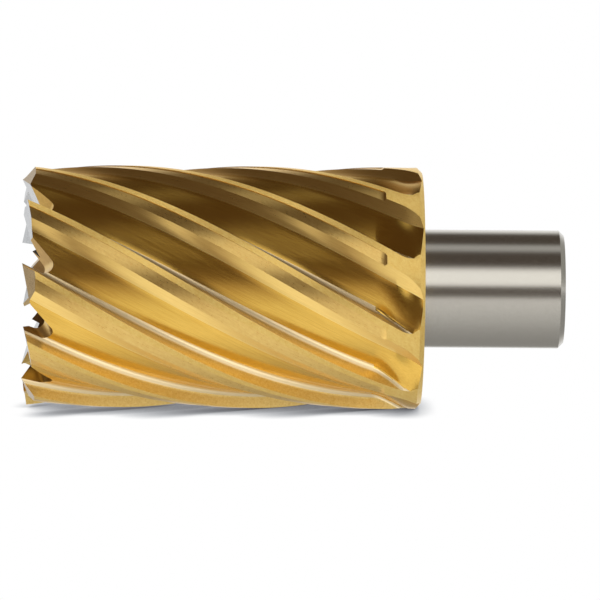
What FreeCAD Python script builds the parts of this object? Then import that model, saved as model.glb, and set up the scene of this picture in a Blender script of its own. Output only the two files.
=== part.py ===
"""Annular cutter: a hollow, right-hand helical hole cutter ground from one bar of tool steel.

The body is a thick-walled tube with ten helical lands. Each land carries one tooth at the open end,
and the teeth come in two forms that take turns, so that each one cuts only a part of the ring.
Behind the closed end of the tube stands a plain round shank with two clamping flats and a bore for
an ejector pin. Units are millimetres. +Z runs along the axis from the teeth to the shank, and the
origin is the centre of the plane that the longest teeth stand on.
"""

import FreeCAD
import Part
import math
import os

from FreeCAD import Placement, Rotation, Vector

# Body: it cuts to CUTTING_DEPTH, and the core needs some room above that
CUT_DIAMETER = 39.0
WALL_THICKNESS = 5.4
CUTTING_DEPTH = 55.0
CORE_CLEARANCE = 3.0
ROOF_THICKNESS = 6.4
CAVITY_CHAMFER = 1.0
SHOULDER_CHAMFER = 0.8

# Shank
SHANK_DIAMETER = 19.05
SHANK_LENGTH = 23.0
SHANK_CHAMFER = 0.8
SHANK_ROOT_CHAMFER = 0.4
FLAT_DEPTH = 1.15
FLAT_LENGTH = 12.0
FLAT_SETBACK = 5.5
FLAT_AZIMUTHS = (60.0, 150.0)
PIN_BORE_DIAMETER = 6.4
PIN_BORE_CHAMFER = 0.5

# Teeth and helix
TOOTH_COUNT = 10
HELIX_ANGLE = 30.0
FIRST_TOOTH_AZIMUTH = -28.2

# Land: a margin at full diameter, a backed-off band behind it and a steep heel
MARGIN_WIDTH = 1.15
LAND_WIDTH = 3.2
MARGIN_STEP = 0.12
LAND_DROP = 0.28
COLLAR_LENGTH = 6.1
BAND_CORNER = 0.5
HEEL_WIDTH = 1.95
HEEL_DEPTH = 1.3

# Flute: depth below the cutting diameter at the rake face, and the run-out behind the band
FLUTE_DEPTH = 2.5
ROOT_FILLET = 1.1
ROOT_FACETS = 3
RUNOUT_RAKE_LENGTH = 7.9
RUNOUT_RAKE_RADIUS = 12.0
RUNOUT_HEEL_LENGTH = 3.6
RUNOUT_HEEL_RADIUS = 7.5

# Gullet in front of each tooth, measured at the flute's floor
GULLET_DEPTH = 4.85
GULLET_RADIUS = 1.25
GULLET_BACK_ANGLE = 38.0
GULLET_RAKE_ANGLE = 27.0
GULLET_SLOPE = 17.0
GULLET_LEAD = 0.5

# Tooth ends: how far the point lies inside the cutting diameter and behind the longest teeth, and
# the angles of the faces outside and inside the point
POINTED = {"inset": 2.35, "setback": 0.0, "outer": 36.0, "inner": 23.0}
FLAT = {"inset": 4.0, "setback": 0.15, "outer": 7.0, "inner": 25.0}
END_RELIEF = 11.0

TOOTH_LENGTH_SHARE = 0.68

CLEAR = 1.5
HELIX_STEP = 8.0
RUNOUT_STEP = 1.2

CAVITY_DEPTH = CUTTING_DEPTH + CORE_CLEARANCE
BODY_LENGTH = CAVITY_DEPTH + ROOF_THICKNESS
BAND_LENGTH = BODY_LENGTH - COLLAR_LENGTH
OUTER_RADIUS = CUT_DIAMETER / 2
BORE_RADIUS = OUTER_RADIUS - WALL_THICKNESS
ROOT_RADIUS = OUTER_RADIUS - FLUTE_DEPTH
SHANK_RADIUS = SHANK_DIAMETER / 2
PIN_BORE_RADIUS = PIN_BORE_DIAMETER / 2
TOTAL_LENGTH = BODY_LENGTH + SHANK_LENGTH
PITCH_ANGLE = 360.0 / TOOTH_COUNT
TWIST_PER_MM = math.degrees(math.tan(math.radians(HELIX_ANGLE)) / OUTER_RADIUS)
AXIS = Vector(0, 0, 1)
ORIGIN = Vector(0, 0, 0)


def polar(radius, angle, z=0.0):
    """Point at a radius and an angle in degrees."""
    turn = math.radians(angle)
    return Vector(radius * math.cos(turn), radius * math.sin(turn), z)


def behind(width):
    """Angle in degrees that an arc on the cutting diameter covers behind a cutting edge."""
    return math.degrees(width / OUTER_RADIUS)


def slope(angle):
    return math.tan(math.radians(angle))


def cylinder(radius, low, high):
    return Part.makeCylinder(radius, high - low, Vector(0, 0, low))


def on_helix(wire, z):
    """Cross-section lifted to a height and turned with the helix."""
    wire.Placement = Placement(Vector(0, 0, z), Rotation(AXIS, TWIST_PER_MM * z))
    return wire


def stations(low, high, step):
    count = max(1, math.ceil((high - low) / step))
    return [low + (high - low) * i / count for i in range(count + 1)]


def blank():
    """Turned outside of body and shank: one profile, revolved."""
    corners = [
        (0, 0),
        (OUTER_RADIUS, 0),
        (OUTER_RADIUS, BODY_LENGTH - SHOULDER_CHAMFER),
        (OUTER_RADIUS - SHOULDER_CHAMFER, BODY_LENGTH),
        (SHANK_RADIUS + SHANK_ROOT_CHAMFER, BODY_LENGTH),
        (SHANK_RADIUS, BODY_LENGTH + SHANK_ROOT_CHAMFER),
        (SHANK_RADIUS, TOTAL_LENGTH - SHANK_CHAMFER),
        (SHANK_RADIUS - SHANK_CHAMFER, TOTAL_LENGTH),
        (0, TOTAL_LENGTH),
        (0, 0),
    ]
    return Part.Face(Part.makePolygon([Vector(r, 0, z) for r, z in corners])).revolve(ORIGIN, AXIS, 360)


def cavity():
    """Hollow that the core of the cut passes into, with a sloped corner at its closed end."""
    hole = cylinder(BORE_RADIUS, -CLEAR, CAVITY_DEPTH)
    rim = [edge for edge in hole.Edges if edge.Closed and edge.CenterOfMass.z > 0]
    return hole.makeChamfer(CAVITY_CHAMFER, rim)


def pin_bore():
    """Bore through the shank for the ejector pin, chamfered at the shank's end."""
    hole = cylinder(PIN_BORE_RADIUS, CAVITY_DEPTH - CLEAR, TOTAL_LENGTH + CLEAR)
    mouth = Part.makeCone(
        PIN_BORE_RADIUS,
        PIN_BORE_RADIUS + PIN_BORE_CHAMFER + CLEAR,
        PIN_BORE_CHAMFER + CLEAR,
        Vector(0, 0, TOTAL_LENGTH - PIN_BORE_CHAMFER),
    )
    return hole.fuse(mouth)


def clamping_flat(azimuth):
    """Block that takes one clamping flat off the shank."""
    block = Part.makeBox(
        FLAT_DEPTH + CLEAR,
        SHANK_DIAMETER,
        FLAT_LENGTH,
        Vector(SHANK_RADIUS - FLAT_DEPTH, -SHANK_RADIUS, TOTAL_LENGTH - FLAT_SETBACK - FLAT_LENGTH),
    )
    block.rotate(ORIGIN, AXIS, azimuth)
    return block


def runout_rise(z, length, radius):
    """How far the grinding wheel has lifted out of the flute at a height."""
    into = max(0.0, z - (BODY_LENGTH - length))
    return into ** 2 / (2 * radius)


def flute_section(z):
    """Cross-section of one flute, between the land at angle 0 and the tooth one pitch behind it."""
    heel_rise = runout_rise(z, RUNOUT_HEEL_LENGTH, RUNOUT_HEEL_RADIUS)
    rake_rise = runout_rise(z, RUNOUT_RAKE_LENGTH, RUNOUT_RAKE_RADIUS)
    heel_angle = behind(LAND_WIDTH)
    floor_angle = behind(LAND_WIDTH + HEEL_WIDTH)
    heel = polar(OUTER_RADIUS - LAND_DROP, heel_angle) + polar(heel_rise, floor_angle)
    floor = polar(OUTER_RADIUS - HEEL_DEPTH + heel_rise, floor_angle)
    root = polar(ROOT_RADIUS + rake_rise, PITCH_ANGLE)
    rim = OUTER_RADIUS + CLEAR + rake_rise
    above = heel + (heel - floor) * (CLEAR / HEEL_DEPTH / 2)
    heel_top = polar(rim, math.degrees(math.atan2(above.y, above.x)))
    rake_top = polar(rim, PITCH_ANGLE)

    to_floor = (floor - root).normalize()
    to_rake = (rake_top - root).normalize()
    half = to_floor.getAngle(to_rake) / 2
    centre = root + (to_floor + to_rake).normalize() * (ROOT_FILLET / math.sin(half))
    first = to_floor * (ROOT_FILLET / math.tan(half)) + root - centre
    corner = []
    for step in range(ROOT_FACETS + 1):
        turn = (math.pi - 2 * half) * step / ROOT_FACETS
        corner.append(centre + first * math.cos(turn) - to_floor * (ROOT_FILLET * math.sin(turn)))
    points = [heel_top, above, floor] + corner + [rake_top]
    return on_helix(Part.makePolygon(points + points[:1]), z)


def band_section(z):
    """Cross-section of the backed-off band; its front edge swings back in a round corner at the end."""
    into_corner = max(0.0, z - (BAND_LENGTH - BAND_CORNER))
    swing = BAND_CORNER - math.sqrt(max(0.0, BAND_CORNER ** 2 - into_corner ** 2))
    back_off = (LAND_DROP - MARGIN_STEP) / (LAND_WIDTH - MARGIN_WIDTH)
    front = MARGIN_WIDTH + swing
    back = LAND_WIDTH + CLEAR / 3
    points = [
        polar(OUTER_RADIUS + CLEAR / 3, behind(front)),
        polar(OUTER_RADIUS - MARGIN_STEP - back_off * swing, behind(front)),
        polar(OUTER_RADIUS - MARGIN_STEP - back_off * (back - MARGIN_WIDTH), behind(back)),
        polar(OUTER_RADIUS + CLEAR / 3, behind(back)),
    ]
    return on_helix(Part.makePolygon(points + points[:1]), z)


def flute():
    """Everything that the grinding wheels take off between one margin and the next cutting edge."""
    runout = BODY_LENGTH - RUNOUT_RAKE_LENGTH
    levels = stations(-CLEAR, runout, HELIX_STEP)
    levels += stations(runout, BODY_LENGTH + CLEAR, RUNOUT_STEP)[1:]
    groove = Part.makeLoft([flute_section(z) for z in levels], True)
    turn = BAND_LENGTH - BAND_CORNER
    levels = stations(-CLEAR, turn, HELIX_STEP)
    band = Part.makeLoft([band_section(z) for z in levels], True)
    levels = [turn + BAND_CORNER * math.sin(math.radians(a)) for a in (0, 30, 60, 90)]
    band_end = Part.makeLoft([band_section(z) for z in levels], True)
    return groove.fuse([band, band_end])


def gullet():
    """Round-bottomed slot in front of the tooth at angle 0, deeper towards the outside.

    It is drawn square to its own slope, with u ahead of the tooth and v up from the slot's bottom,
    and then tilted and set in place.
    """
    lean = math.radians(GULLET_RAKE_ANGLE)
    height = GULLET_DEPTH * math.cos(math.radians(GULLET_SLOPE))
    climb = (height - GULLET_RADIUS - GULLET_RADIUS * math.sin(lean)) / math.cos(lean)
    centre = GULLET_LEAD + GULLET_RADIUS * math.cos(lean) - climb * math.sin(lean)

    def point(angle, reach=0.0):
        """Point on the round bottom, or moved from there along the wall that leaves it."""
        turn = math.radians(angle)
        u = centre + GULLET_RADIUS * math.cos(turn) + reach * math.sin(turn)
        v = GULLET_RADIUS * (math.sin(turn) - 1) - reach * math.cos(turn)
        return Vector(0, -u, v)

    rake_side = 180.0 + GULLET_RAKE_ANGLE
    back_side = 90.0 - GULLET_BACK_ANGLE
    length = 2 * (WALL_THICKNESS + CLEAR)
    rake_top = point(rake_side, -length)
    back_top = point(back_side, length)
    slot = Part.Face(Part.Wire([
        Part.makeLine(rake_top, point(rake_side)),
        Part.Arc(point(rake_side), point((rake_side + back_side) / 2), point(back_side)).toShape(),
        Part.makeLine(point(back_side), back_top),
        Part.makeLine(back_top, rake_top),
    ])).extrude(Vector(length, 0, 0))
    slot.translate(Vector(-length / 2, 0, 0))
    slot.rotate(ORIGIN, Vector(0, -1, 0), GULLET_SLOPE)
    slot.translate(Vector(ROOT_RADIUS, 0, GULLET_DEPTH))
    return slot


def end_grind(form):
    """Wedge that grinds the end of the tooth at angle 0 to a point, falling away behind the edge."""
    ahead = GULLET_LEAD + CLEAR
    point = OUTER_RADIUS - form["inset"]
    inner = BORE_RADIUS - CLEAR
    outer = OUTER_RADIUS + CLEAR
    fall = slope(END_RELIEF)
    level = form["setback"] - CLEAR * fall
    profile = [
        Vector(inner, -ahead, level + (point - inner) * slope(form["inner"])),
        Vector(point, -ahead, level),
        Vector(outer, -ahead, level + (outer - point) * slope(form["outer"])),
        Vector(outer, -ahead, -GULLET_DEPTH),
        Vector(inner, -ahead, -GULLET_DEPTH),
    ]
    length = ahead + math.radians(PITCH_ANGLE) * OUTER_RADIUS * TOOTH_LENGTH_SHARE
    return Part.Face(Part.makePolygon(profile + profile[:1])).extrude(Vector(0, length, length * fall))


def ring_of(tools):
    """One copy of a tool at each tooth, taking the tools in turn."""
    ring = []
    for index in range(TOOTH_COUNT):
        copy = tools[index % len(tools)].copy()
        copy.rotate(ORIGIN, AXIS, FIRST_TOOTH_AZIMUTH + PITCH_ANGLE * index)
        ring.append(copy)
    return ring


def cutter():
    solid = blank().cut([cavity(), pin_bore()] + [clamping_flat(azimuth) for azimuth in FLAT_AZIMUTHS])
    solid = solid.cut(ring_of([gullet()]))
    solid = solid.cut(ring_of([end_grind(POINTED), end_grind(FLAT)]))
    return solid.cut(Part.makeCompound(ring_of([flute()])))


os.makedirs("parts", exist_ok=True)
annular_cutter = cutter()
print("solids", len(annular_cutter.Solids), "valid", annular_cutter.isValid())
print("faces", len(annular_cutter.Faces), "volume in mm3", round(annular_cutter.Volume, 1))
annular_cutter.exportStep("parts/annular_cutter.step")
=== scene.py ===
# %% [markdown]
# # An annular cutter, ground from one bar and coated gold
#
# The cutter is a thick-walled tube with ten helical lands, a ring of teeth at its open end and a plain
# round shank at the other. It is one piece of steel. The CAD model gives its size and place, and this
# script makes a finer mesh of the same form, because a helical flute is all reflections and a coarse
# mesh would break them up.

import math

import bmesh
import bpy
from mathutils import Matrix, Vector


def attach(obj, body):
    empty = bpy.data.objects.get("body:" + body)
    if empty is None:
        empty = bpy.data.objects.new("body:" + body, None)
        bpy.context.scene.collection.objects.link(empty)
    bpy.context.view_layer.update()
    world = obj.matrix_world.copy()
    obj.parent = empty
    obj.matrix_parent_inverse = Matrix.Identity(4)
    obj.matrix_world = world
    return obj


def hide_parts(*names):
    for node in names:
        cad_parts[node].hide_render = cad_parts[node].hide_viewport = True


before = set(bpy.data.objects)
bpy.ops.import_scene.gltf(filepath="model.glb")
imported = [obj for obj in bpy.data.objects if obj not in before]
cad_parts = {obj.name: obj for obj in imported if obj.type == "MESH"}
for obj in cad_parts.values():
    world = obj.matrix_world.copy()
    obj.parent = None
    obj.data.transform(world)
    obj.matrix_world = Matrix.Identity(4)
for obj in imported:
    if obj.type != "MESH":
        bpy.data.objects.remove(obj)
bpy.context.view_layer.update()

# %% [markdown]
# ## Sizes
#
# These are the sizes of the real cutter, in millimetres. Blender works in metres here, so each mesh is
# built in metres with the helper MM. OUTER, BORE, SHANK, PIN_BORE and ROOT are radii: across the lands,
# of the hollow for the core, of the shank, of the ejector pin's bore and at the root of each flute. BODY,
# CAVITY and TOTAL are heights above the tooth tips: of the collar's end face, of the end of the hollow
# and of the shank's end. The helix runs 30 degrees off the axis at the outside, and TWIST is what it
# turns in each millimetre. FIRST_TOOTH is the angle of the first cutting edge at the tooth tips. A face
# whose middle lies within NEAR of a surface counts as a part of it.

# %% Sizes of the cutter
MM = 0.001
OUTER = 19.5
BORE = 14.1
BODY = 64.4
CAVITY = 58.0
SHANK = 9.525
TOTAL = 87.4
PIN_BORE = 3.2
TEETH = 10
PITCH = 360 / TEETH
TWIST = math.degrees(math.tan(math.radians(30)) / OUTER)
FIRST_TOOTH = -28.2
ROOT = 17.0
NEAR = 0.1
print("twist in degrees per millimetre:", round(TWIST, 4))


def polar(radius, angle, z=0.0):
    turn = math.radians(angle)
    return Vector((radius * math.cos(turn), radius * math.sin(turn), z))


def behind(width):
    return math.degrees(width / OUTER)


# %% [markdown]
# ## Small helpers for modelling by hand
#
# An operator acts on whatever is selected, so each step starts from nothing selected. `edit` goes into
# edit mode on one object, and `alone` selects one object and nothing else. Each grinding wheel leaves
# its own grain on the steel, so every tool carries the finish that it leaves, and the Boolean modifier
# hands that finish on to the faces that the tool cuts.

# %% Helpers
def alone(obj):
    bpy.ops.object.select_all(action="DESELECT")
    obj.select_set(True)
    bpy.context.view_layer.objects.active = obj


def edit(obj):
    alone(obj)
    bpy.ops.object.mode_set(mode="EDIT")
    bpy.ops.mesh.select_all(action="DESELECT")


def done():
    bpy.ops.object.mode_set(mode="OBJECT")


def outline(name, points):
    """A flat closed outline from a primitive circle whose points are set one by one."""
    bpy.ops.object.select_all(action="DESELECT")
    bpy.ops.mesh.primitive_circle_add(vertices=len(points), radius=0.01)
    obj = bpy.context.active_object
    obj.name = name
    for vertex, point in zip(obj.data.vertices, points):
        vertex.co = point * MM
    return obj


def bake(obj, kind, **settings):
    """Add one modifier with its settings and apply it at once."""
    alone(obj)
    modifier = obj.modifiers.new(kind.lower(), kind)
    for key, value in settings.items():
        setattr(modifier, key, value)
    bpy.ops.object.modifier_apply(modifier=modifier.name)


def take_away(obj, tool):
    bake(obj, "BOOLEAN", operation="DIFFERENCE", solver="EXACT", material_mode="TRANSFER", object=tool)
    bpy.data.objects.remove(tool, do_unlink=True)


GROUPS = [
    "margin", "band", "heel", "flute", "root", "rake", "gullet", "end_bevel", "end_flat", "bore", "shank",
    "root_ring",
]
FINISHES = {group: bpy.data.materials.new(group) for group in GROUPS}
print("finishes to give:", len(FINISHES))


def give_finishes(obj, finishes, finish_of):
    """Give an object its finishes, and each of its faces the one that a rule picks by its middle."""
    for finish in finishes:
        obj.data.materials.append(FINISHES[finish])
    for face in obj.data.polygons:
        face.material_index = finishes.index(finish_of(face.center / MM))


# %% [markdown]
# ## The turned blank
#
# On a lathe the blank is one profile turned about the axis. Blender's spin operator does the same: the
# profile is drawn once as a chain of points and spun through a full turn. The hollow for the core and
# the bore for the ejector pin are part of the profile, so the blank is closed and watertight.

# %% Turn the blank
LATHE_STEPS = 360
EDGE = 0.8
NECK = 0.4
PIN_EDGE = 0.5
CAVITY_EDGE = 1.0
profile = [
    (BORE, 0), (OUTER, 0), (OUTER, BODY - EDGE), (OUTER - EDGE, BODY),
    (SHANK + NECK, BODY), (SHANK, BODY + NECK), (SHANK, TOTAL - EDGE), (SHANK - EDGE, TOTAL),
    (PIN_BORE + PIN_EDGE, TOTAL), (PIN_BORE, TOTAL - PIN_EDGE), (PIN_BORE, CAVITY),
    (BORE - CAVITY_EDGE, CAVITY), (BORE, CAVITY - CAVITY_EDGE),
]
blank = outline("cutter", [Vector((r, 0, z)) for r, z in profile])
edit(blank)
bpy.ops.mesh.select_all(action="SELECT")
bpy.ops.mesh.spin(steps=LATHE_STEPS, angle=math.radians(360), center=(0, 0, 0), axis=(0, 0, 1))
bpy.ops.mesh.select_all(action="SELECT")
bpy.ops.mesh.remove_doubles(threshold=1e-6)
bpy.ops.mesh.normals_make_consistent(inside=False)
done()


def turned_finish(middle):
    radius = math.hypot(middle.x, middle.y)
    hollow = BORE if middle.z < BODY - EDGE else PIN_BORE
    if radius < hollow + NEAR:
        return "bore"
    if middle.z > BODY + NECK:
        return "shank"
    return "root_ring" if middle.z > BODY and radius < SHANK + NECK else "margin"


give_finishes(blank, ["margin", "bore", "shank", "root_ring"], turned_finish)
print("blank faces:", len(blank.data.polygons))

# %% [markdown]
# ## One flute, drawn straight
#
# A helical flute is hard to draw and easy to twist. So the groove is drawn as if the cutter were
# untwisted: its cross-section is extruded along the axis, and near the collar each further section is
# lifted outwards, first on the side of the cutting edge, because the grinding wheel leaves the steel
# there first. The cross-section runs from the top of the heel, down the heel to the floor, along the
# floor, round the root and up the rake face of the next tooth.

# %% The flute's cross-section
LAND = 3.2
LAND_DROP = 0.28
HEEL_WIDTH = 1.95
HEEL_DROP = 1.3
HEEL_RUNOUT = 3.6
HEEL_WHEEL = 7.5
ROOT_RUNOUT = 7.9
ROOT_CLIMB = 7.1
ROOT_RISE = 2.94
ROOT_FILLET = 1.1
ROOT_STEPS = 8
FLOOR_STEPS = 6
HEEL_STEPS = 3
HEEL_OVERSHOOT = 0.577
CLEAR = 1.5


def heel_lift(z):
    """Near the collar the heel rises as the bottom of the grinding wheel's circle does."""
    return max(0.0, z - (BODY - HEEL_RUNOUT)) ** 2 / (2 * HEEL_WHEEL)


def root_lift(z):
    """The root rises in an S, leaves the steel 2 to 2.5 mm before the end face and levels off."""
    share = min(1.0, max(0.0, (z - (BODY - ROOT_RUNOUT)) / ROOT_CLIMB))
    return ROOT_RISE * share * share * (3 - 2 * share)


def blend(a, b, count):
    return [a.lerp(b, i / count) for i in range(count)]


def sweep(a, b, count):
    """From a towards b round the axis, the radius changing evenly: the floor is slightly crowned."""
    radii = [math.hypot(p.x, p.y) for p in (a, b)]
    turns = [math.degrees(math.atan2(p.y, p.x)) for p in (a, b)]
    return [
        polar(radii[0] + (radii[1] - radii[0]) * i / count, turns[0] + (turns[1] - turns[0]) * i / count)
        for i in range(count)
    ]


def flute_section(z):
    heel_rise = heel_lift(z)
    rake_rise = root_lift(z)
    floor_angle = behind(LAND + HEEL_WIDTH)
    heel = polar(OUTER - LAND_DROP, behind(LAND)) + polar(heel_rise, floor_angle)
    floor = polar(OUTER - HEEL_DROP + heel_rise, floor_angle)
    root = polar(ROOT + rake_rise, PITCH)
    rim = OUTER + CLEAR + rake_rise
    above = heel + (heel - floor) * HEEL_OVERSHOOT
    heel_top = polar(rim, math.degrees(math.atan2(above.y, above.x)))
    rake_top = polar(rim, PITCH)
    to_floor = (floor - root).normalized()
    to_rake = (rake_top - root).normalized()
    half = to_floor.angle(to_rake) / 2
    centre = root + (to_floor + to_rake).normalized() * (ROOT_FILLET / math.sin(half))
    first = to_floor * (ROOT_FILLET / math.tan(half)) + root - centre
    bend = []
    for step in range(ROOT_STEPS + 1):
        turn = (math.pi - 2 * half) * step / ROOT_STEPS
        bend.append(centre + first * math.cos(turn) - to_floor * (ROOT_FILLET * math.sin(turn)))
    points = [heel_top] + blend(above, floor, HEEL_STEPS) + sweep(floor, bend[0], FLOOR_STEPS) + bend
    points.append(rake_top)
    return [Vector((p.x, p.y, z)) for p in points]


print("points in one section of the flute:", len(flute_section(0)))


# %% Build the flute's groove
def sleeve(name, rings):
    """A closed solid whose rings are given: a primitive grid, rolled up and capped at both ends."""
    around, along = len(rings[0]), len(rings)
    bpy.ops.object.select_all(action="DESELECT")
    bpy.ops.mesh.primitive_grid_add(x_subdivisions=around, y_subdivisions=along - 1, size=1)
    obj = bpy.context.active_object
    obj.name = name
    grid = sorted(obj.data.vertices, key=lambda v: (round(v.co.y, 5), v.co.x))
    for index, vertex in enumerate(grid):
        row, column = divmod(index, around + 1)
        vertex.co = rings[row][column % around] * MM
    edit(obj)
    bpy.ops.mesh.select_all(action="SELECT")
    bpy.ops.mesh.remove_doubles(threshold=1e-7)
    bpy.ops.mesh.fill_holes(sides=0)
    bpy.ops.mesh.select_all(action="SELECT")
    bpy.ops.mesh.normals_make_consistent(inside=False)
    done()
    return obj


def steps(low, high, count):
    return [low + (high - low) * i / count for i in range(count + 1)]


RUNOUT_STEPS = 24
RAKE_FROM = PITCH - 0.25
# From these angles on, the faces of the root fillet get the paler root finish: its ground grain and a
# painted highlight along the root.
ROOT_HIGHLIGHT_FROM = PITCH - 4.5
RUNOUT_ROOT_HIGHLIGHT_FROM = PITCH - 1.5
levels = [-CLEAR] + steps(BODY - ROOT_RUNOUT, BODY + CLEAR, RUNOUT_STEPS)
groove = sleeve("groove", [flute_section(z) for z in levels])


def groove_finish(middle):
    """The faces of the straight groove, told apart by the angle at which they stand."""
    turn = math.degrees(math.atan2(middle.y, middle.x))
    if turn > RAKE_FROM:
        return "rake"
    # The root's finish carries a painted highlight.
    if turn > (ROOT_HIGHLIGHT_FROM if middle.z < BODY - ROOT_RUNOUT else RUNOUT_ROOT_HIGHLIGHT_FROM):
        return "root"
    return "flute" if turn > behind(LAND + HEEL_WIDTH - NEAR) else "heel"


give_finishes(groove, ["flute", "heel", "root", "rake"], groove_finish)
print("groove faces:", len(groove.data.polygons))

# %% [markdown]
# ## The backed-off band
#
# Behind each cutting edge a narrow margin stands at full diameter. The band behind it is ground a
# little lower, so that it doesn't rub in the hole, and it ends in a round corner short of the collar.

# %% The band's groove
MARGIN = 1.15
BAND_DROP = 0.12
BAND_END = 58.3
BAND_CLEAR = 0.5
BAND_STEPS = 6
CORNER = 0.5
CORNER_ANGLES = (0, 20, 40, 60, 75, 90)
SLOPE = 0.4
LIP = 0.02


def band_section(z):
    """The band's depth grows behind the margin, and its floor slopes up to the land at its end."""
    swing = CORNER - math.sqrt(max(0.0, CORNER ** 2 - max(0.0, z - (BAND_END - CORNER)) ** 2))
    fall = (LAND_DROP - BAND_DROP) / (LAND - MARGIN)
    front, back = MARGIN + swing, LAND + BAND_CLEAR
    rise = max(0.0, z - (BAND_END - SLOPE)) / SLOPE
    low = []
    for width in steps(front, back, BAND_STEPS):
        radius = OUTER - BAND_DROP - fall * (width - MARGIN)
        low.append(polar(radius + (OUTER + LIP - radius) * rise, behind(width)))
    rim = OUTER + BAND_CLEAR
    points = [polar(rim, behind(front))] + low + [polar(rim, behind(back))]
    return [Vector((p.x, p.y, z)) for p in points]


ends = [BAND_END - CORNER + CORNER * math.sin(math.radians(a)) for a in CORNER_ANGLES]
band = sleeve("band", [band_section(z) for z in [-CLEAR] + ends])
give_finishes(band, ["band"], lambda middle: "band")
print("band faces:", len(band.data.polygons))

# %% [markdown]
# ## Cut the grooves, then twist
#
# The grooves are copied round the axis, cut from the straight blank, and the outside is sliced at
# even steps along the axis. A twist about the axis then turns the straight flutes into helical ones,
# and because the slices are close together, the curves stay smooth.

# %% Ring of tools
def ring_of(tool, first=0, every=1):
    """Copies of a tool at the teeth, each with its own mesh, joined into one object."""
    copies = []
    for index in range(first, TEETH, every):
        copy = bpy.data.objects.new(tool.name + str(index), tool.data.copy())
        bpy.context.collection.objects.link(copy)
        copy.data.transform(Matrix.Rotation(math.radians(FIRST_TOOTH + PITCH * index), 4, "Z"))
        copies.append(copy)
    bpy.data.objects.remove(tool, do_unlink=True)
    alone(copies[0])
    for copy in copies[1:]:
        copy.select_set(True)
    bpy.ops.object.join()
    return bpy.context.active_object


take_away(blank, ring_of(groove))
take_away(blank, ring_of(band))
print("fluted blank faces:", len(blank.data.polygons))

# %% Slice and twist
SLICE = 0.8


def slice_outside(obj, levels, inside, outside):
    """Bisect the faces whose middle lies in a range of radius, once at each level."""
    edit(obj)
    bpy.ops.mesh.select_mode(type="FACE")
    for level in levels:
        bpy.ops.mesh.select_all(action="DESELECT")
        mesh = bmesh.from_edit_mesh(obj.data)
        for face in mesh.faces:
            middle = face.calc_center_bounds()
            radius = math.hypot(middle.x, middle.y) / MM
            heights = [v.co.z / MM for v in face.verts]
            if inside < radius < outside and min(heights) < level < max(heights):
                face.select_set(True)
        bmesh.update_edit_mesh(obj.data)
        bpy.ops.mesh.bisect(plane_co=(0, 0, level * MM), plane_no=(0, 0, 1))
    bpy.ops.mesh.select_mode(type="VERT")
    done()


slice_outside(blank, steps(0, BODY, round(BODY / SLICE))[1:-1], inside=ROOT - 1, outside=OUTER + 0.5)
for vertex in blank.data.vertices:
    turn = math.radians(TWIST) * min(vertex.co.z / MM, BODY)
    vertex.co.xy = Matrix.Rotation(turn, 2) @ vertex.co.xy
print("twisted body faces:", len(blank.data.polygons))

# %% [markdown]
# ## Gullets
#
# In front of each tooth a round-bottomed slot lets the chips out. It is ground square to its own
# slope, so the tool is drawn flat, tilted by 17 degrees and set in the wall.

# %% Cut the gullets
GULLET_DEPTH = 4.85
GULLET_RADIUS = 1.25
GULLET_FRONT = 27
GULLET_BACK = 38
GULLET_SLOPE = 17
GULLET_AHEAD = 0.5
GULLET_LENGTH = 13.8
GULLET_STEPS = 20


def gullet_tool():
    """A slot with a round bottom between two walls that each lean by their own angle."""
    lean, tilt = math.radians(GULLET_FRONT), math.radians(GULLET_SLOPE)
    height = GULLET_DEPTH * math.cos(tilt)
    climb = (height - GULLET_RADIUS - GULLET_RADIUS * math.sin(lean)) / math.cos(lean)
    centre = GULLET_AHEAD + GULLET_RADIUS * math.cos(lean) - climb * math.sin(lean)
    start, end = 180 + GULLET_FRONT, 90 - GULLET_BACK
    bend = [(angle, 0) for angle in steps(start, end, GULLET_STEPS)]
    profile = []
    for angle, reach in [(start, -GULLET_LENGTH)] + bend + [(end, GULLET_LENGTH)]:
        turn = math.radians(angle)
        u = centre + GULLET_RADIUS * math.cos(turn) + reach * math.sin(turn)
        v = GULLET_RADIUS * (math.sin(turn) - 1) - reach * math.cos(turn)
        profile.append((u, v))
    place = Matrix.Translation((ROOT, 0, GULLET_DEPTH)) @ Matrix.Rotation(-tilt, 4, "Y")
    sides = (-GULLET_LENGTH / 2, GULLET_LENGTH / 2)
    rings = [[place @ Vector((x, -u, v)) for u, v in profile] for x in sides]
    tool = sleeve("gullet", rings)
    give_finishes(tool, ["gullet"], lambda middle: "gullet")
    return tool


take_away(blank, ring_of(gullet_tool()))
print("faces with gullets:", len(blank.data.polygons))

# %% [markdown]
# ## Tooth ends in two forms
#
# One form has its point in the middle of the wall, with a steep face outside it. The other is nearly
# flat and a little shorter, so it cuts what the first leaves. Both fall away behind the cutting edge.

# %% Grind the tooth ends
END_RELIEF = 11
TOOTH_SHARE = 0.68
END_AHEAD = 2.0
STEEP = 20


def end_tool(name, inset, setback, outer_angle, inner_angle):
    """A block under a tooth end. Its top is a valley that leaves the point and rises behind the edge."""
    fall = math.tan(math.radians(END_RELIEF))
    point, inner, outer = OUTER - inset, BORE - CLEAR, OUTER + CLEAR
    level = setback - CLEAR * fall
    profile = [
        (inner, level + (point - inner) * math.tan(math.radians(inner_angle))),
        (point, level),
        (outer, level + (outer - point) * math.tan(math.radians(outer_angle))),
        (outer, -GULLET_DEPTH),
        (inner, -GULLET_DEPTH),
    ]
    length = END_AHEAD + math.radians(PITCH) * OUTER * TOOTH_SHARE
    rings = [[Vector((x, y - END_AHEAD, z + y * fall)) for x, z in profile] for y in (0, length)]
    tool = sleeve(name, rings)
    give_finishes(tool, ["end_bevel", "end_flat"], lambda middle: (
        "end_bevel" if middle.x > point and outer_angle > STEEP else "end_flat"))
    return tool


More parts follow.
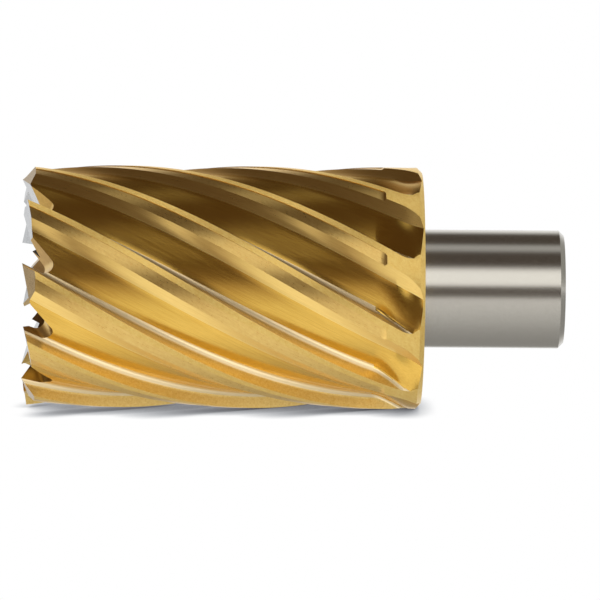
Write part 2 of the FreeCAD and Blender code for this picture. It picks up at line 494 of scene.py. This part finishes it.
pointed = end_tool("pointed", inset=2.35, setback=0.0, outer_angle=36, inner_angle=23)
take_away(blank, ring_of(pointed, first=0, every=2))
flat_end = end_tool("flat", inset=4.0, setback=0.15, outer_angle=7, inner_angle=25)
take_away(blank, ring_of(flat_end, first=1, every=2))
print("faces with tooth ends:", len(blank.data.polygons))

# %% [markdown]
# ## Clamping flats
#
# Two flats at 90 degrees take the set screws of the tool holder. They face away in the photograph.

# %% Cut the flats
FLAT_DEPTH = 1.15
FLAT_LENGTH = 12
FLAT_TOP = TOTAL - 5.5
FLAT_AZIMUTHS = (60, 150)
for azimuth in FLAT_AZIMUTHS:
    x0, x1 = SHANK - FLAT_DEPTH, SHANK + CLEAR
    square = [(x0, -SHANK), (x1, -SHANK), (x1, SHANK), (x0, SHANK)]
    ends = (FLAT_TOP - FLAT_LENGTH, FLAT_TOP)
    flat = sleeve("flat", [[Vector((x, y, z)) for x, y in square] for z in ends])
    flat.data.transform(Matrix.Rotation(math.radians(azimuth), 4, "Z"))
    give_finishes(flat, ["shank"], lambda middle: "shank")
    take_away(blank, flat)

edit(blank)
bpy.ops.mesh.select_all(action="SELECT")
bpy.ops.mesh.remove_doubles(threshold=2e-7)
done()
print("finished cutter faces:", len(blank.data.polygons))
edges = bmesh.new()
edges.from_mesh(blank.data)
print("open edges:", sum(1 for e in edges.edges if not e.is_manifold))
edges.free()

# %% [markdown]
# ## Smooth and sharp edges
#
# The lands and flutes are curved, and the edges between them are sharp, because each was ground with
# its own wheel. Faces that meet at less than 24 degrees are shaded as one curved surface, and all other
# edges stay sharp. Shading the whole cutter smooth would round its cutting edges off.

# %% Smooth the shading
SMOOTH_BELOW = 24
alone(blank)
bpy.ops.object.shade_smooth_by_angle(angle=math.radians(SMOOTH_BELOW))
counts = dict.fromkeys(FINISHES, 0)
for face in blank.data.polygons:
    counts[blank.data.materials[face.material_index].name] += 1
print("faces by finish:", counts)

# %% [markdown]
# ## Ground and coated steel
#
# Each finish is a metal whose grain follows the way it was ground. The root's paler colour is a painted
# highlight as well. The helix is turned back into straight lines with a Vector Rotate node, so a noise
# that is stretched along the axis follows the flutes on the real surface, without a seam.

# %% Metal finishes
def nodes_of(material):
    material.use_nodes = True
    tree = material.node_tree
    tree.nodes.clear()
    return tree


def link(tree, a, b):
    tree.links.new(a, b)


def straight_coordinates(tree, twisted):
    """Object coordinates in millimetres, with the helix turned back where the surface is twisted."""
    place = tree.nodes.new("ShaderNodeTexCoord")
    scale = tree.nodes.new("ShaderNodeVectorMath")
    scale.operation = "SCALE"
    scale.inputs["Scale"].default_value = 1000
    link(tree, place.outputs["Object"], scale.inputs[0])
    if not twisted:
        return scale.outputs[0]
    split = tree.nodes.new("ShaderNodeSeparateXYZ")
    link(tree, scale.outputs[0], split.inputs[0])
    angle = tree.nodes.new("ShaderNodeMath")
    angle.operation = "MULTIPLY"
    angle.inputs[1].default_value = -math.radians(TWIST)
    link(tree, split.outputs["Z"], angle.inputs[0])
    turn = tree.nodes.new("ShaderNodeVectorRotate")
    turn.rotation_type = "Z_AXIS"
    link(tree, scale.outputs[0], turn.inputs["Vector"])
    link(tree, angle.outputs[0], turn.inputs["Angle"])
    return turn.outputs[0]


def noise(tree, source, stretch, detail, rough):
    mapping = tree.nodes.new("ShaderNodeMapping")
    mapping.inputs["Scale"].default_value = stretch
    link(tree, source, mapping.inputs["Vector"])
    texture = tree.nodes.new("ShaderNodeTexNoise")
    texture.inputs["Scale"].default_value = 1.0
    texture.inputs["Detail"].default_value = detail
    texture.inputs["Roughness"].default_value = rough
    link(tree, mapping.outputs[0], texture.inputs["Vector"])
    return texture.outputs["Fac"]


def ramp(tree, source, stops):
    node = tree.nodes.new("ShaderNodeValToRGB")
    while len(node.color_ramp.elements) < len(stops):
        node.color_ramp.elements.new(0.5)
    for element, (place, colour) in zip(node.color_ramp.elements, stops):
        element.position = place
        element.color = (*colour, 1)
    link(tree, source, node.inputs[0])
    return node.outputs["Color"]


def metal(name, dark, light, rough, grain, speckle, bump, twisted=True, metallic=1.0):
    """A ground metal: colour and roughness vary with the grain, and fine lines stand in relief."""
    tree = nodes_of(FINISHES[name])
    output = tree.nodes.new("ShaderNodeOutputMaterial")
    shader = tree.nodes.new("ShaderNodeBsdfPrincipled")
    shader.inputs["Metallic"].default_value = metallic
    shader.inputs["Specular IOR Level"].default_value = 0.1
    coordinates = straight_coordinates(tree, twisted)
    lines = noise(tree, coordinates, grain, 6, 0.7)
    spots = noise(tree, coordinates, speckle, 3, 0.6)
    both = tree.nodes.new("ShaderNodeMix")
    both.inputs[0].default_value = 0.4
    link(tree, lines, both.inputs[2])
    link(tree, spots, both.inputs[3])
    colour = ramp(tree, both.outputs[0], [(0.35, dark), (0.65, light)])
    link(tree, colour, shader.inputs["Base Color"])
    spread = tree.nodes.new("ShaderNodeMapRange")
    spread.inputs["From Min"].default_value = 0.3
    spread.inputs["From Max"].default_value = 0.7
    spread.inputs["To Min"].default_value = rough[0]
    spread.inputs["To Max"].default_value = rough[1]
    link(tree, both.outputs[0], spread.inputs["Value"])
    link(tree, spread.outputs[0], shader.inputs["Roughness"])
    relief = tree.nodes.new("ShaderNodeBump")
    relief.inputs["Strength"].default_value = 0.6
    relief.inputs["Distance"].default_value = bump * MM
    link(tree, both.outputs[0], relief.inputs["Height"])
    link(tree, relief.outputs[0], shader.inputs["Normal"])
    link(tree, shader.outputs[0], output.inputs["Surface"])


metal("margin", (0.84, 0.54, 0.13), (0.98, 0.73, 0.25), rough=(0.26, 0.38),
      grain=(4, 4, 4), speckle=(1.5, 1.5, 1.5), bump=0.012, metallic=0.5)
metal("band", (0.84, 0.54, 0.16), (1.0, 0.72, 0.25), rough=(0.26, 0.32),
      grain=(6, 6, 0.5), speckle=(2, 2, 2), bump=0.0015)
metal("heel", (0.84, 0.58, 0.18), (0.98, 0.71, 0.25), rough=(0.26, 0.34),
      grain=(12, 12, 0.12), speckle=(6, 6, 0.5), bump=0.01)
metal("flute", (0.70, 0.41, 0.07), (0.90, 0.60, 0.14), rough=(0.17, 0.24),
      grain=(14, 14, 0.08), speckle=(6, 6, 0.3), bump=0.01)
# The root's colour is paler and less golden than the flute's: a painted highlight along the root fillet,
# over its own ground grain.
metal("root", (0.84, 0.66, 0.36), (0.95, 0.78, 0.50), rough=(0.32, 0.38),
      grain=(12, 12, 0.1), speckle=(6, 6, 0.3), bump=0.006)
metal("rake", (0.80, 0.55, 0.17), (0.96, 0.74, 0.30), rough=(0.38, 0.48),
      grain=(4, 4, 4), speckle=(2, 2, 2), bump=0.01, metallic=0.8)
metal("gullet", (0.60, 0.39, 0.11), (0.80, 0.57, 0.20), rough=(0.28, 0.40),
      grain=(5, 5, 5), speckle=(1, 1, 1), twisted=False, bump=0.012)
metal("end_bevel", (0.30, 0.22, 0.12), (0.48, 0.36, 0.20), rough=(0.24, 0.34),
      grain=(5, 5, 5), speckle=(1, 1, 1), twisted=False, bump=0.01)
metal("end_flat", (0.40, 0.41, 0.42), (0.62, 0.64, 0.66), rough=(0.24, 0.34),
      grain=(5, 5, 5), speckle=(1, 1, 1), twisted=False, bump=0.01)
metal("bore", (0.30, 0.18, 0.07), (0.48, 0.31, 0.13), rough=(0.35, 0.5),
      grain=(1, 1, 8), speckle=(1, 1, 1), twisted=False, bump=0.02)
metal("shank", (0.50, 0.48, 0.43), (0.64, 0.62, 0.57), rough=(0.16, 0.25),
      grain=(6, 6, 6), speckle=(14, 14, 14), twisted=False, bump=0.008)
metal("root_ring", (0.62, 0.42, 0.14), (0.85, 0.62, 0.26), rough=(0.3, 0.4),
      grain=(4, 4, 4), speckle=(1, 1, 1), twisted=False, bump=0.02)
print("finishes on the cutter:", [m.name for m in blank.data.materials])

# %% [markdown]
# ## The cutter in place of the CAD solid
#
# Nothing moves in this part, so the finished cutter rides on the only body. It replaces the CAD solid,
# because both are the same form and two skins in one place would flicker.

# %% Ride and replace
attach(blank, "root")
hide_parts("annular_cutter")
print("pieces made:", [blank.name])

# %% [markdown]
# ## Camera
#
# The photograph shows the cutter lying on its side, with the teeth to the left and the shank to the
# right, from far away with a long lens. The cutter's own frame has it standing up, so the camera is
# turned a quarter round: the picture's right is the cutter's +Z and the picture's up is its -X. Its
# right end is a little further away, and the picture is turned by less than half a degree.

# %% Set the camera
DISTANCE = 1500
PIXELS_PER_MM = 6.19
PICTURE = 600
SENSOR = 36
MIDDLE_OF_PICTURE = Vector((0, 0, 44.9))
AXIS_ABOVE_MIDDLE = 12.45
yaw, tilt = math.radians(1.68), math.radians(0.43)
level_right = Vector((0, -math.sin(yaw), math.cos(yaw)))
depth = Vector((0, math.cos(yaw), math.sin(yaw)))
level_up = Vector((-1, 0, 0))
right = level_right * math.cos(tilt) + level_up * math.sin(tilt)
up = level_up * math.cos(tilt) - level_right * math.sin(tilt)
aim = MIDDLE_OF_PICTURE - up * (AXIS_ABOVE_MIDDLE / PIXELS_PER_MM)
where = (aim - depth * DISTANCE) * MM

lens = bpy.data.cameras.new("camera")
lens.sensor_width = SENSOR
lens.lens = SENSOR * DISTANCE * PIXELS_PER_MM / PICTURE
lens.clip_start, lens.clip_end = 0.1, 10
camera = bpy.data.objects.new("camera", lens)
camera.matrix_world = Matrix((
    (right.x, up.x, -depth.x, where.x),
    (right.y, up.y, -depth.y, where.y),
    (right.z, up.z, -depth.z, where.z),
    (0, 0, 0, 1),
))
bpy.context.collection.objects.link(camera)
bpy.context.scene.camera = camera
print("lens in mm:", round(lens.lens, 1))

# %% [markdown]
# ## Studio
#
# Metal shows what is around it. The shank is a clean round mirror, so its bands tell what stood round
# the cutter in the photograph: a bright strip in front, a little above the lens, a dim room above it, a
# paler table below and light from behind. The world's colour follows the direction round the cutter's
# axis in the same way. Along the axis it has four parts. The floors of the flutes lean towards the
# teeth, so they look to the left, past the strip, where the room is dark above and bright below. The
# roots look part of the way to the right, where it is bright only below the lens, so a pale line runs
# along the lower roots and not along the upper ones. The rake faces look further to the right.

# %% Direction round the axis
world = bpy.data.worlds.new("studio")
bpy.context.scene.world = world
tree = nodes_of(world)
output = tree.nodes.new("ShaderNodeOutputWorld")
place = tree.nodes.new("ShaderNodeTexCoord")
split = tree.nodes.new("ShaderNodeSeparateXYZ")
link(tree, place.outputs["Generated"], split.inputs[0])
minus = []
for axis in "XY":
    node = tree.nodes.new("ShaderNodeMath")
    node.operation = "MULTIPLY"
    node.inputs[1].default_value = -1
    link(tree, split.outputs[axis], node.inputs[0])
    minus.append(node.outputs[0])
turn = tree.nodes.new("ShaderNodeMath")
turn.operation = "ARCTAN2"
link(tree, minus[0], turn.inputs[0])
link(tree, minus[1], turn.inputs[1])
height = tree.nodes.new("ShaderNodeMapRange")
height.inputs["From Min"].default_value = -math.pi
height.inputs["From Max"].default_value = math.pi
link(tree, turn.outputs[0], height.inputs["Value"])
print("nodes that find the direction:", len(tree.nodes))

# %% Levels of the room
# Each pair is a direction in degrees and the brightness there: 0 is the viewer's side, and 90 is up.
FRONT = [
    (-180, 0.8), (-155, 0.35), (-120, 0.38), (-90, 0.45), (-50, 0.64), (-20, 0.85), (-14, 0.1), (3, 0.1),
    (8, 1.5), (34, 1.5), (46, 0.1), (75, 0.1), (83, 0.6), (92, 0.6), (100, 0.1), (132, 0.1),
    (142, 0.6), (155, 1.1), (180, 1.1),
]
LEFT = [
    (-180, 0.9), (-150, 0.5), (-110, 0.8), (-75, 1.1), (-45, 0.9), (-26, 0.45), (-17, 0.16), (0, 0.1),
    (118, 0.07), (135, 0.35), (150, 0.7), (180, 1.0),
]
MIDDLE = [
    (-180, 0.8), (-110, 0.35), (-70, 0.9), (-50, 1.8), (-20, 1.8), (2, 0.12), (130, 0.1), (150, 0.5),
    (180, 1.0),
]
RIGHT = [(-180, 0.4), (-40, 0.35), (0, 1.25), (70, 1.25), (90, 0.3), (180, 0.5)]

# The direction's shares along the axis between which one part of the room passes into the next.
LEFT_TO_FRONT = (-0.15, -0.03)
FRONT_TO_MIDDLE = (0.16, 0.24)
MIDDLE_TO_RIGHT = (0.52, 0.62)


def room(levels, green=(0.72, 1.0), blue=(0.58, 1.0)):
    """Light round the axis. Dim parts are warmer: green and blue start low and rise with the level."""
    stops = []
    for degrees, level in levels:
        tints = [min(top, low + rise * level) for top, (low, rise) in ((0.985, green), (0.96, blue))]
        stops.append(((degrees + 180) / 360, (level, level * tints[0], level * tints[1])))
    return ramp(tree, height.outputs[0], stops)


def beyond(border, near_side, far_side):
    """Passes from one part of the room to the next where the direction's share along the axis grows."""
    share = tree.nodes.new("ShaderNodeMapRange")
    share.inputs["From Min"].default_value, share.inputs["From Max"].default_value = border
    link(tree, split.outputs["Z"], share.inputs["Value"])
    both = tree.nodes.new("ShaderNodeMix")
    both.data_type = "RGBA"
    link(tree, share.outputs[0], both.inputs[0])
    link(tree, near_side, both.inputs[6])
    link(tree, far_side, both.inputs[7])
    return both.outputs[2]


sky = beyond(LEFT_TO_FRONT, room(LEFT, green=(0.6, 0.42), blue=(0.35, 0.6)), room(FRONT))
sky = beyond(FRONT_TO_MIDDLE, sky, room(MIDDLE))
sky = beyond(MIDDLE_TO_RIGHT, sky, room(RIGHT))
print("levels in the room:", len(LEFT) + len(FRONT) + len(MIDDLE) + len(RIGHT))

# %% [markdown]
# ## The white background
#
# The white background stands behind the cutter. The camera sees it in every direction, by the Light Path
# node, and metal and glass see it where it stands, behind the cutter. So it gives no more light to the
# coated steel than a white wall there would.

# %% White behind the cutter
def calculate(operation, a, b):
    node = tree.nodes.new("ShaderNodeMath")
    node.operation = operation
    node.use_clamp = True
    link(tree, a, node.inputs[0])
    link(tree, b, node.inputs[1])
    return node.outputs[0]


# Shares of a full turn that starts and ends right behind the cutter.
WHITE, BLACK = (1, 1, 1), (0, 0, 0)
BEHIND = [(0.0, WHITE), (0.04, WHITE), (0.07, BLACK), (0.93, BLACK), (0.96, WHITE), (1.0, WHITE)]
seen = tree.nodes.new("ShaderNodeLightPath")
mirrored = calculate("ADD", seen.outputs["Is Glossy Ray"], seen.outputs["Is Transmission Ray"])
mirrored_back = calculate("MULTIPLY", mirrored, ramp(tree, height.outputs[0], BEHIND))
white = tree.nodes.new("ShaderNodeMix")
white.data_type = "RGBA"
link(tree, calculate("ADD", seen.outputs["Is Camera Ray"], mirrored_back), white.inputs[0])
link(tree, sky, white.inputs[6])
white.inputs[7].default_value = (1, 1, 1, 1)
background = tree.nodes.new("ShaderNodeBackground")
link(tree, white.outputs[2], background.inputs["Color"])
link(tree, background.outputs[0], output.inputs["Surface"])
print("nodes in the world:", len(tree.nodes))

# %% [markdown]
# ## Lamps
#
# One lamp at the left draws a soft light on the heels. The one above lights the margins, whose coating
# is partly dull. Mirrors don't show it, so the bands on the floors of the flutes stay as they are.

# %% Lamps
def lamp(name, across, upwards, away, width, tall, power):
    """A soft area lamp, placed in millimetres to the picture's right, up and towards the viewer."""
    light = bpy.data.lights.new(name, "AREA")
    light.shape = "RECTANGLE"
    light.size, light.size_y = width * MM, tall * MM
    light.energy = power
    light.color = (1.0, 0.98, 0.95)
    obj = bpy.data.objects.new(name, light)
    spot = MIDDLE_OF_PICTURE + right * across + up * upwards - depth * away
    obj.location = spot * MM
    obj.rotation_euler = (MIDDLE_OF_PICTURE - spot).to_track_quat("-Z", "Y").to_euler()
    bpy.context.collection.objects.link(obj)
    return obj


lamp("heels", across=-320, upwards=10, away=390, width=120, tall=280, power=0.12)
above = lamp("above", across=0, upwards=420, away=80, width=300, tall=200, power=1.2)
above.visible_glossy = False

# %% [markdown]
# ## Floor
#
# The cutter lies on a white floor of which only the shadow is seen. The floor is as white as the
# background for the camera and dims close to the cutter, by Ambient Occlusion. Other rays pass through
# it, and so does the sight of a camera below it, so it lights nothing and hides nothing.

# %% Floor for the shadow
FLOOR_SIZE = 300
FLOOR_TIP = 8
FLOOR_GAP = 0.05
SHADOW_REACH = 4.5
SHADOW = [(0.0, (0.05, 0.05, 0.06)), (0.4, (0.5, 0.51, 0.53)), (0.85, WHITE)]
bpy.ops.object.select_all(action="DESELECT")
bpy.ops.mesh.primitive_plane_add(size=FLOOR_SIZE * MM)
floor = bpy.context.active_object
floor.name = "floor"
tip = math.radians(FLOOR_TIP)
floor_up = (up * math.cos(tip) - depth * math.sin(tip)).normalized()
floor_depth = floor_up.cross(right).normalized()
spot = (MIDDLE_OF_PICTURE - floor_up * (OUTER + FLOOR_GAP)) * MM
floor.matrix_world = Matrix((
    (right.x, floor_depth.x, floor_up.x, spot.x),
    (right.y, floor_depth.y, floor_up.y, spot.y),
    (right.z, floor_depth.z, floor_up.z, spot.z),
    (0, 0, 0, 1),
))
floor.data.materials.append(bpy.data.materials.new("floor_shadow"))
tree = nodes_of(floor.data.materials[0])
output = tree.nodes.new("ShaderNodeOutputMaterial")
clear = tree.nodes.new("ShaderNodeBsdfTransparent")
near = tree.nodes.new("ShaderNodeAmbientOcclusion")
near.samples = 16
near.inputs["Distance"].default_value = SHADOW_REACH * MM
shade = ramp(tree, near.outputs["AO"], SHADOW)
glow = tree.nodes.new("ShaderNodeEmission")
link(tree, shade, glow.inputs["Color"])
rays = tree.nodes.new("ShaderNodeLightPath")
side = tree.nodes.new("ShaderNodeNewGeometry")
front = tree.nodes.new("ShaderNodeMath")
front.operation = "SUBTRACT"
front.use_clamp = True
link(tree, rays.outputs["Is Camera Ray"], front.inputs[0])
link(tree, side.outputs["Backfacing"], front.inputs[1])
both = tree.nodes.new("ShaderNodeMixShader")
link(tree, front.outputs[0], both.inputs[0])
link(tree, clear.outputs[0], both.inputs[1])
link(tree, glow.outputs[0], both.inputs[2])
link(tree, both.outputs[0], output.inputs["Surface"])
bpy.context.scene.view_settings.view_transform = "Standard"
